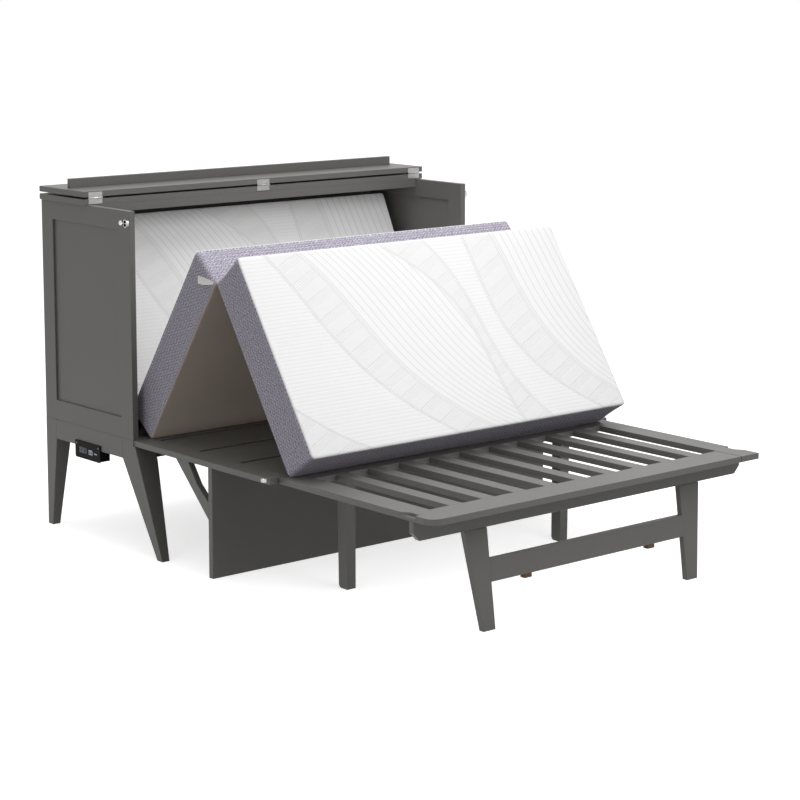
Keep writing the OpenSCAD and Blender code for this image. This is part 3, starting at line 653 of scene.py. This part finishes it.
class BED_OT_latches(bpy.types.Operator):
    """Makes the oval latch rings, their knobs and the catches on the platform's rails"""

    bl_idname = "bed.latches"
    bl_label = "Latches and catches"

    def execute(self, context):
        metal = nickel(context.scene.bed_metal, "latch_nickel", 0.16)
        # Near black for the latch wells: partly their own black, partly painted shade in the hollow
        dark = moulded("latch_well", tint(16, 16, 17), 0.5)
        for side, sign in (("left", -1), ("right", 1)):
            self.ring(side, sign, metal, dark)
            self.knob(side, sign, metal)
        self.catches(nickel(context.scene.bed_metal, "catch_nickel", 0.22, 0.7))
        return {"FINISHED"}

    def ring(self, side, sign, metal, dark):
        """An oval cup with a dark well, round the bolt; the well's near-black colour is partly the cup's own
        black and partly painted shade in its hollow.
        """
        low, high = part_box("latch_boss_" + side)
        middle, size = (low + high) / 2, high - low
        wall, lip, rise, deep = 0.0022, 0.0007, 0.0004, 0.0075
        deselect()
        bpy.ops.mesh.primitive_cylinder_add(vertices=36, radius=size.y / 2, depth=size.x)
        rim = fresh("latch_ring_" + side)
        pick_faces(rim, lambda c, n: n.z > 0.9)
        bpy.ops.mesh.inset(thickness=lip)
        bpy.ops.transform.translate(value=(0, 0, rise))
        bpy.ops.mesh.inset(thickness=wall - 2 * lip)
        bpy.ops.mesh.inset(thickness=lip)
        bpy.ops.transform.translate(value=(0, 0, -rise))
        bpy.ops.mesh.extrude_region_move(TRANSFORM_OT_translate={"value": (0, 0, -deep)})
        bpy.ops.object.mode_set(mode="OBJECT")
        spread = (size.z - size.y) / 2
        for v in rim.data.vertices:
            v.co.x += math.copysign(spread, v.co.x) if abs(v.co.x) > 0.0002 else 0
        settle(rim, stood((middle.x - sign * rise, middle.y, middle.z), 90 * sign, "Y"))
        dress(rim, metal, "cabinet")
        rim.data.materials.append(dark)
        out = middle.x + sign * size.x / 2
        for face in rim.data.polygons:
            across = math.hypot(face.center.y - middle.y, max(abs(face.center.z - middle.z) - spread, 0))
            if across < size.y / 2 - wall + 0.0002 and 0.0010 < abs(face.center.x - out) < size.x - 0.001:
                face.material_index = 1
        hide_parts("latch_boss_" + side)

    def knob(self, side, sign, metal):
        """A turned knob on its neck, with the bolt that it slides."""
        low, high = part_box("latch_bolt_" + side)
        size = high - low
        radius = size.z / 2
        at = Vector((0, high.y - radius, (low.z + high.z) / 2))
        inner = low.x if sign > 0 else high.x
        deselect()
        bpy.ops.mesh.primitive_cylinder_add(vertices=32, radius=radius * 0.5, depth=0.0040)
        knob = fresh("latch_knob_" + side)
        pick_faces(knob, lambda c, n: n.z > 0.9)
        bpy.ops.mesh.extrude_region_move(TRANSFORM_OT_translate={"value": (0, 0, 0.0010)})
        bpy.ops.transform.resize(value=(1.9, 1.9, 1))
        for rise, shrink in ((0.0022, 1.06), (0.0016, 0.92), (0.0012, 0.80), (0.0006, 0.62)):
            bpy.ops.mesh.extrude_region_move(TRANSFORM_OT_translate={"value": (0, 0, rise)})
            bpy.ops.transform.resize(value=(shrink, shrink, 1))
        settle(knob, stood((inner + sign * 0.0021, at.y, at.z), 90 * sign, "Y"))
        deselect()
        length = at.y - low.y
        bpy.ops.mesh.primitive_cylinder_add(vertices=20, radius=0.0022, depth=length)
        bolt = fresh("bolt")
        pick_faces(bolt, lambda c, n: n.z > 0.9)
        bpy.ops.mesh.bevel(offset=0.0008, segments=2, affect="EDGES")
        settle(bolt, stood((inner + sign * 0.0052, (at.y + low.y) / 2, at.z), 90, "X"))
        piece = join([knob, bolt], "latch_knob_" + side)
        dress(piece, metal, "latch_bolt_" + side)
        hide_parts("latch_bolt_" + side)

    def catches(self, metal):
        """Round lugs on the rails' edges, each with the hole that takes the bolt."""
        low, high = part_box("catch_blocks")
        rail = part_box("mid_rail_right")[1].x
        middle = Vector((0, (low.y + high.y) / 2, (low.z + high.z) / 2))
        radius = (high.y - low.y) / 2
        made = []
        for sign in (-1, 1):
            deselect()
            bpy.ops.mesh.primitive_cylinder_add(vertices=40, radius=radius, depth=high.z - low.z)
            lug = fresh("catch")
            lug.location = (sign * (high.x - radius), middle.y, middle.z)
            bpy.ops.object.transform_apply(location=True)
            bpy.ops.object.mode_set(mode="EDIT")
            bpy.ops.mesh.select_all(action="SELECT")
            bpy.ops.mesh.bisect(plane_co=(sign * rail, 0, 0), plane_no=(sign, 0, 0),
                                use_fill=True, clear_inner=True)
            deselect()
            bpy.ops.mesh.primitive_cylinder_add(vertices=24, radius=0.0035, depth=0.03)
            drill = fresh("drill")
            drill.location = (sign * (rail + (high.x - rail) * 0.55), middle.y, middle.z)
            picked(lug)
            hole = lug.modifiers.new("hole", "BOOLEAN")
            hole.operation = "DIFFERENCE"
            hole.object = drill
            bpy.ops.object.modifier_apply(modifier=hole.name)
            bpy.data.objects.remove(drill)
            harden(lug, 0.0009)
            settle(lug)
            made.append(lug)
        catch = join(made, "catches")
        dress(catch, metal, "middle")
        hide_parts("catch_blocks")


# The charging station's blocks: name, both ends counted from the back, top and bottom counted from the top
CHARGER_BLOCKS = (
    ("outlet_block", 0.0, 0.049, 0.0, 0.021),
    ("charging_block", 0.059, 0.084, 0.004, 0.021),
    ("side_ports", 0.094, 0.102, 0.011, 0.016),
    ("second_port", 0.1035, 0.1115, 0.011, 0.016),
)
OUTLETS_AT, OUTLETS_DOWN = (0.0125, 0.0365), 0.0105
PORTS_AT, PORTS_DOWN = (0.0655, 0.0775), 0.0125


class BED_OT_charger(bpy.types.Operator):
    """Fits the charging station's outlets, ports and screws"""

    bl_idname = "bed.charger"
    bl_label = "Charging station"

    def execute(self, context):
        settings = context.scene.bed_charger
        shell = moulded("charger_shell", settings.shell, 0.46, 0.08)
        for name in ("charger_plate", "charger_housing"):
            coat(frame["nodes"][name], shell)
        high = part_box("charger_sockets")[1]
        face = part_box("charger_plate")[0].x
        outlet = moulded("outlet_face", settings.outlet, 0.35)
        ports = moulded("port_face", settings.ports, 0.28)
        # Near black for the outlet slots and charging ports: painted shade where the holes would be
        dark = moulded("port_well", tint(8, 8, 9), 0.5)
        blocks = {}
        for name, rear, front, crest, foot in CHARGER_BLOCKS:
            blocks[name] = self.block(
                name, face, high.y - front, high.y - rear, high.z - foot, high.z - crest,
                outlet if name == "outlet_block" else ports)
        for middle in OUTLETS_AT:
            self.slots(blocks["outlet_block"], face, high.y - middle, high.z - OUTLETS_DOWN, dark)
        places = [(high.y - middle, high.z - PORTS_DOWN) for middle in PORTS_AT]
        self.wells(blocks["charging_block"], face, places, dark)
        for piece in blocks.values():
            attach(piece, "cabinet")
            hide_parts("charger_sockets")
        self.screws(face, context.scene.bed_metal)
        return {"FINISHED"}

    def block(self, name, face, y0, y1, z0, z1, material):
        """A block that stands a little out of the plate, with a raised face."""
        deselect()
        bpy.ops.mesh.primitive_cube_add(size=1)
        block = fresh(name)
        block.scale = (0.0030, y1 - y0, z1 - z0)
        bpy.ops.object.transform_apply(scale=True)
        pick_faces(block, lambda c, n: n.x < -0.9)
        bpy.ops.mesh.inset(thickness=min(y1 - y0, z1 - z0) * 0.12)
        bpy.ops.transform.translate(value=(-0.0005, 0, 0))
        harden(block, 0.0004)
        settle(block, Matrix.Translation((face + 0.0014, (y0 + y1) / 2, (z0 + z1) / 2)))
        block.data.materials.append(material)
        return block

    def well(self, face, y, z, wide, high, material):
        """A small dark recess, drawn as a shallow dished plate on the block's face; its dark colour is
        painted shade in place of the hole.
        """
        deselect()
        bpy.ops.mesh.primitive_cube_add(size=1)
        well = fresh("well")
        well.scale = (0.0006, wide, high)
        bpy.ops.object.transform_apply(scale=True)
        pick_faces(well, lambda c, n: n.x < -0.9)
        bpy.ops.mesh.inset(thickness=min(wide, high) * 0.15)
        bpy.ops.transform.translate(value=(0.0003, 0, 0))
        settle(well, Matrix.Translation((face - 0.0006, y, z)))
        well.data.materials.append(material)
        return well

    def slots(self, block, face, y, z, dark):
        """Two upright slots and the round one below them."""
        made = [self.well(face, y + 0.0032, z + 0.0018, 0.0011, 0.0062, dark),
                self.well(face, y - 0.0032, z + 0.0018, 0.0011, 0.0052, dark),
                self.well(face, y, z - 0.0048, 0.0034, 0.0034, dark)]
        join([block] + made, block.name)

    def wells(self, block, face, places, dark):
        join([block] + [self.well(face, y, z, 0.0046, 0.0088, dark) for y, z in places], block.name)

    def screws(self, face, settings):
        low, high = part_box("charger_plate")
        made = []
        for y in (low.y + 0.010, high.y - 0.010):
            deselect()
            bpy.ops.mesh.primitive_cylinder_add(vertices=20, radius=0.0034, depth=0.0010)
            head = fresh("plate_screw")
            pick_faces(head, lambda c, n: n.z > 0.9)
            bpy.ops.mesh.inset(thickness=0.0012)
            bpy.ops.transform.translate(value=(0, 0, 0.0005))
            bpy.ops.mesh.inset(thickness=0.0012)
            bpy.ops.transform.translate(value=(0, 0, -0.0006))
            settle(head, stood((face - 0.0004, y, high.z - 0.010), -90, "Y"))
            made.append(head)
        piece = join(made, "plate_screws")
        dress(piece, nickel(settings, "screw_nickel", 0.25, 0.25), "cabinet")


# Mattress

WIDTH = 1.4
CORNER_R = 0.014
EDGE_R = 0.009
SEAM_WIDTH = 0.0095
SEAM_GAP = 0.0006
# How far the sides draw in, the foot section's upper face stands out, and both reach at the top of the tent
WAIST = 0.002
FILL = 0.010
MIDDLE_REACH = 0.019
FOOT_REACH = 0.015
FOOT_SLIDE = 0.004
# Leans of the middle, foot and head sections from upright, in degrees
LEANS = (33.862, 33.124, 25.132)
# The simulated fill: its settings, its frames, and the stretch that gives half of the crown
FILLING = {
    "quality": 4, "mass": 0.3, "tension_stiffness": 30, "compression_stiffness": 30,
    "shear_stiffness": 20, "bending_stiffness": 4, "use_pressure": True,
    "uniform_pressure_force": 4, "vertex_group_mass": "seam",
}
FRAMES = 20
HALF_FILLED = 0.012
# Unevenness of the faces, and how far from the edge the crown and the unevenness are whole
DRIFT = 0.0006
DRIFT_RUN = 0.05
SIDE_BAND = 0.012
NEAR_EDGE = (0.0, 0.0016, 0.0048, 0.0090, 0.0140, 0.0300)
HEIGHTS = (0.0, 0.0016, 0.0048, 0.0090, 0.0300, 0.0550, 0.0800, 0.1050, 0.1350, 0.1392, 0.1424, 0.1440)


def lattice(total, steps):
    """Positions along a side, close together near both ends and even between."""
    near = NEAR_EDGE
    inner = steps - 2 * (len(near) - 1)
    span = total - 2 * near[-1]
    middle = [near[-1] + span * i / inner for i in range(1, inner)]
    return list(near) + middle + [total - d for d in reversed(near)]


def eased(x, y, z, length):
    """A point of the square block moved onto the block with rounded corners and edges."""
    cx, cy = x - WIDTH / 2, y - length / 2
    ax = max(abs(cx) - (WIDTH / 2 - CORNER_R), 0.0)
    ay = max(abs(cy) - (length / 2 - CORNER_R), 0.0)
    bx, by = ax, ay
    if ax > 0 and ay > 0:
        k = max(ax, ay) / math.hypot(ax, ay)
        bx, by = ax * k, ay * k
    reach = math.hypot(bx, by)
    way = Vector((math.copysign(bx, cx), math.copysign(by, cy))) / reach if reach > 0 else Vector((0, 0))
    near_side = EDGE_R - (CORNER_R - reach)
    near_top = EDGE_R - min(z, THICKNESS - z)
    px = cx - math.copysign(ax - bx, cx)
    py = cy - math.copysign(ay - by, cy)
    if near_side > 0 and near_top > 0:
        m = math.hypot(near_side, near_top)
        k = EDGE_R / m
        px -= way.x * near_side * (1 - k)
        py -= way.y * near_side * (1 - k)
        dz = near_top * (1 - k)
        z += dz if z < THICKNESS / 2 else -dz
    return Vector((px + WIDTH / 2, py + length / 2, z))


def swollen(y, z, length, part):
    """How far a point of the filled cover stands past the plain block, along its length and its thickness."""
    if part == "head":
        return Vector((0, 0, 0))
    share = z / THICKNESS
    ends = (y / length * 2 - 1) ** 3
    if part == "middle":
        return Vector((0, share * MIDDLE_REACH * max(ends, 0), 0))
    along = FOOT_REACH * max(ends, 0) + FOOT_SLIDE * (1 - abs(ends))
    return Vector((0, share * along, share * FILL))


class BED_OT_mattress(bpy.types.Operator):
    """Makes the three padded sections of the folding mattress"""

    bl_idname = "bed.mattress"
    bl_label = "Mattress"

    def execute(self, context):
        settings = context.scene.bed_mattress
        cover = mattress_fabric(settings, "mattress_cover", 0.0)
        shifted = mattress_fabric(settings, "mattress_cover_shifted", -0.03)
        lean_mid, lean_foot, lean_head = (math.radians(angle) for angle in LEANS)
        flip = Matrix.Scale(-1, 4, (0, 1, 0))
        heel = (0.45342 - SEAM_GAP - THICKNESS * math.cos(lean_head),
                0.47105 - THICKNESS * math.sin(lean_head))
        sections = (
            ("middle", 0.7064, (0.573, 0.39081), lean_mid, cover),
            ("foot", 0.7004, (1.350, 0.39084), lean_foot, cover),
            ("head", 0.7184, heel, lean_head, shifted),
        )
        for part, length, (s, z), lean, material in sections:
            turn = Matrix.Rotation(math.pi / 2 - lean, 4, "X")
            if part != "middle":
                turn = flip @ turn
            pad = self.block("pad_" + part, length)
            self.swell(context, pad, length, settings.crown, part)
            centre = Matrix.Translation((-WIDTH / 2, 0, 0))
            into = Matrix.Translation((0, BACK, 0)) @ flip @ Matrix.Translation((0, s, z)) @ turn @ centre
            pad.data.transform(into)
            if into.determinant() < 0:
                pad.data.flip_normals()
            picked(pad)
            bpy.ops.object.shade_smooth()
            dress(pad, material, "mattress_" + part)
            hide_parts("mattress_" + part)
            if part == "head":
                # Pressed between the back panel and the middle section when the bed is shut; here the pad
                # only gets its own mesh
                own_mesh(pad)
            else:
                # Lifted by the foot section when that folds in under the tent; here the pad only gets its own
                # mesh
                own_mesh(pad)
        return {"FINISHED"}

    def block(self, name, length):
        """A closed block of quads with even rows, its edges and corners rounded."""
        nx, ny = 96, 52
        deselect()
        bpy.ops.mesh.primitive_grid_add(x_subdivisions=nx, y_subdivisions=ny, size=2)
        pad = fresh(name)
        bpy.ops.object.mode_set(mode="EDIT")
        bpy.ops.mesh.select_all(action="SELECT")
        for _ in HEIGHTS[1:]:
            bpy.ops.mesh.extrude_region_move(TRANSFORM_OT_translate={"value": (0, 0, 1)})
        bpy.ops.mesh.select_all(action="SELECT")
        bpy.ops.mesh.normals_make_consistent(inside=False)
        bpy.ops.object.mode_set(mode="OBJECT")
        xs, ys = lattice(WIDTH, nx), lattice(length, ny)
        seam, places = [], []
        for v in pad.data.vertices:
            i, j, k = round((v.co.x + 1) / 2 * nx), round((v.co.y + 1) / 2 * ny), round(v.co.z)
            x, y, z = xs[i], ys[j], HEIGHTS[k]
            places.extend((x, y, z))
            v.co = eased(x, y, z, length)
            side = min(x, WIDTH - x, y, length - y)
            if side < SEAM_WIDTH and min(z, THICKNESS - z) < SEAM_WIDTH:
                seam.append(v.index)
        pad.vertex_groups.new(name="seam").add(seam, 1.0, "REPLACE")
        flat = pad.data.attributes.new("flat", "FLOAT_VECTOR", "POINT")
        flat.data.foreach_set("vector", places)
        return pad

    def swell(self, context, pad, length, crown, part):
        """Crowns the upper face by each point's share of the simulated fill, and draws the sides in."""
        rest = [v.co.copy() for v in pad.data.vertices]
        lift = [0.0] * len(rest)
        scene = context.scene
        picked(pad)
        cloth = pad.modifiers.new("fill", "CLOTH")
        for key, value in FILLING.items():
            setattr(cloth.settings, key, value)
        cloth.settings.effector_weights.gravity = 0
        cloth.point_cache.frame_start = 1
        cloth.point_cache.frame_end = FRAMES
        for step in range(1, FRAMES + 1):
            scene.frame_set(step)
        bpy.ops.object.modifier_apply(modifier=cloth.name)
        lift = [(v.co - r).length for v, r in zip(pad.data.vertices, rest)]
        scene.frame_set(1)
        flat = pad.data.attributes["flat"]
        for v, r, up in zip(pad.data.vertices, rest, lift):
            x, y, z = flat.data[v.index].vector
            top = z > THICKNESS - 0.0001
            inside = max(min(x, WIDTH - x, y, length - y), 0.0)
            fill = up / (up + HALF_FILLED)
            drift = noise.noise(Vector((x * 5, y * 5, z * 5 + 3))) * DRIFT
            co = r.copy()
            if top:
                co.z += crown * fill + drift * min(inside / DRIFT_RUN, 1.0)
            elif z < 0.0001:
                co.z += abs(drift) * min(inside / DRIFT_RUN, 1.0)
            else:
                draw = WAIST * math.sin(math.pi * z / THICKNESS) + abs(drift)
                away = Vector((co.x - WIDTH / 2, co.y - length / 2, 0))
                if abs(away.x) > WIDTH / 2 - SIDE_BAND:
                    co.x -= math.copysign(draw, away.x)
                if abs(away.y) > length / 2 - SIDE_BAND:
                    co.y -= math.copysign(draw, away.y)
            co += swollen(y, z, length, part)
            v.co = co
        refine(pad)


# Where the pull tab is sewn: across, forward and up
TAB_AT = (-0.7008, 0.958, 0.9752)


class BED_OT_pull_tab(bpy.types.Operator):
    """Sews the satin pull tab between the middle and foot sections"""

    bl_idname = "bed.pull_tab"
    bl_label = "Pull tab"

    def execute(self, context):
        deselect()
        bpy.ops.mesh.primitive_grid_add(x_subdivisions=16, y_subdivisions=6, size=2)
        tab = fresh("pull_tab")
        for v in tab.data.vertices:
            # t runs along the tab from 0 to 1 and w across it from -1 to 1
            t, w = (v.co.x + 1) / 2, v.co.y
            forward = TAB_AT[1] - 0.078 * t
            across = TAB_AT[0] - 0.0085 * math.sin(t * 2.2) - 0.0012 * w * w
            up = TAB_AT[2] + 0.0045 * t + (0.0052 + 0.0080 * min(1.0, t * 1.8)) * w
            v.co = spot(across, forward, up)
        picked(tab)
        thick = tab.modifiers.new("thick", "SOLIDIFY")
        thick.thickness = 0.0014
        thick.offset = 0
        bpy.ops.object.modifier_apply(modifier=thick.name)
        refine(tab)
        settle(tab)
        dress(tab, satin_ribbon(), "mattress_middle")
        return {"FINISHED"}


# Stage

# Each lamp's place, what it looks at and its width
LAMPS = (
    ("key", (0.1, -2.0, 2.15), (0.2, 0.8, 0.8), 1.6),
    ("side", (-5.0, -2.0, 0.9), (0, 0, 0.7), 2.0),
    ("top", (0.2, 0.2, 4.6), (0, 0, 0.6), 3.0),
)
CAMERA_AT = (-4.9785, -5.9047, 2.0041)
CAMERA_YAW = 49.684
CAMERA_PITCH = 8.52
CAMERA_SHIFT = -0.12


class BED_OT_stage(bpy.types.Operator):
    """Lays the pale floor and sets the lamps and the camera"""

    bl_idname = "bed.stage"
    bl_label = "Stage"

    def execute(self, context):
        settings = context.scene.bed_stage
        scene = context.scene
        scene.view_settings.view_transform = "Standard"
        self.floor()
        self.sky(scene, settings)
        for name, at, towards, size in LAMPS:
            self.lamp(name + "_lamp", at, towards, size, getattr(settings, name))
        data = bpy.data.cameras.new("camera")
        data.lens = settings.lens
        data.sensor_width = 36
        data.shift_y = CAMERA_SHIFT
        data.clip_end = 60
        camera = bpy.data.objects.new("camera", data)
        scene.collection.objects.link(camera)
        yaw, pitch = math.radians(CAMERA_YAW), math.radians(CAMERA_PITCH)
        look = Vector((math.cos(yaw) * math.cos(pitch), math.sin(yaw) * math.cos(pitch), -math.sin(pitch)))
        camera.location = CAMERA_AT
        camera.rotation_euler = look.to_track_quat("-Z", "Y").to_euler()
        scene.camera = camera
        return {"FINISHED"}

    def floor(self):
        deselect()
        bpy.ops.mesh.primitive_plane_add(size=60)
        floor = fresh("floor")
        f = Finish("floor_white", roughness=0.9)
        speck = f.grain(f.place(), 220.0, 2.0)
        f.surface(base_color=f.mix(speck, (0.05, 0.05, 0.05, 1), (0.06, 0.06, 0.06, 1)))
        pale = f.node("ShaderNodeBsdfPrincipled", sockets={
            "Base Color": f.mix(speck, (0.78, 0.78, 0.78, 1), (0.82, 0.82, 0.82, 1)),
            "Roughness": 0.9, "Specular IOR Level": 0.0,
            "Emission Color": (1, 1, 1, 1), "Emission Strength": 0.68})
        seen = f.unlit_rays()
        both = f.node("ShaderNodeMixShader", sockets={0: seen, 1: f.shader["BSDF"], 2: pale["BSDF"]})
        f.node("ShaderNodeOutputMaterial", {"is_active_output": True}, {"Surface": both["Shader"]})
        floor.data.materials.append(f.material)

    def sky(self, scene, settings):
        world = bpy.data.worlds.new("sky")
        scene.world = world
        world.use_nodes = True
        f = Plot(world.node_tree)
        way = f.node("ShaderNodeSeparateXYZ", sockets={0: f.node("ShaderNodeTexCoord")["Generated"]})["Z"]
        rise = f.maths("MAXIMUM", way, 0.0)
        light = rise * (settings.zenith - settings.horizon) + settings.horizon
        seen = f.unlit_rays()
        level = light + seen * (1 - light)
        back = f.node("ShaderNodeBackground", sockets={"Color": (1, 1, 1, 1), "Strength": level})
        f.node("ShaderNodeOutputWorld", sockets={"Surface": back["Background"]})

    def lamp(self, name, at, towards, size, power):
        data = bpy.data.lights.new(name, "AREA")
        data.shape = "SQUARE"
        data.size = size
        data.energy = power
        lamp = bpy.data.objects.new(name, data)
        bpy.context.scene.collection.objects.link(lamp)
        lamp.location = at
        lamp.rotation_euler = (Vector(towards) - Vector(at)).to_track_quat("-Z", "Y").to_euler()


class BED_PT_panel(bpy.types.Panel):
    bl_idname = "BED_PT_panel"
    bl_label = "Cabinet bed"
    bl_space_type = "VIEW_3D"
    bl_region_type = "UI"
    bl_category = "Cabinet bed"

    def draw(self, context):
        scene = context.scene
        for group, step in GROUPS:
            box = self.layout.box()
            settings = getattr(scene, group)
            for key in settings.bl_rna.properties.keys():
                if key not in ("rna_type", "name"):
                    box.prop(settings, key)
            for operator in step:
                box.operator(operator.bl_idname)


SETTINGS = (
    ("bed_paint", BedPaint), ("bed_metal", BedMetal), ("bed_charger", BedCharger),
    ("bed_mattress", BedMattress), ("bed_stage", BedStage),
)
GROUPS = (
    ("bed_paint", (BED_OT_paint,)), ("bed_metal", (BED_OT_hinges, BED_OT_latches)),
    ("bed_charger", (BED_OT_charger,)), ("bed_mattress", (BED_OT_mattress, BED_OT_pull_tab)),
    ("bed_stage", (BED_OT_stage,)),
)
OPERATORS = tuple(operator for _, step in GROUPS for operator in step)


def register():
    for name, group in SETTINGS:
        bpy.utils.register_class(group)
        setattr(bpy.types.Scene, name, PointerProperty(type=group))
    for operator in OPERATORS:
        bpy.utils.register_class(operator)
    bpy.utils.register_class(BED_PT_panel)


def unregister():
    bpy.utils.unregister_class(BED_PT_panel)
    for operator in reversed(OPERATORS):
        bpy.utils.unregister_class(operator)
    for name, group in reversed(SETTINGS):
        delattr(bpy.types.Scene, name)
        bpy.utils.unregister_class(group)


def main():
    register()
    bpy.ops.bed.stage()
    bpy.ops.bed.paint()
    bpy.ops.bed.hinges()
    bpy.ops.bed.latches()
    bpy.ops.bed.charger()
    bpy.ops.bed.mattress()
    bpy.ops.bed.pull_tab()


if __name__ == "__main__":
    main()
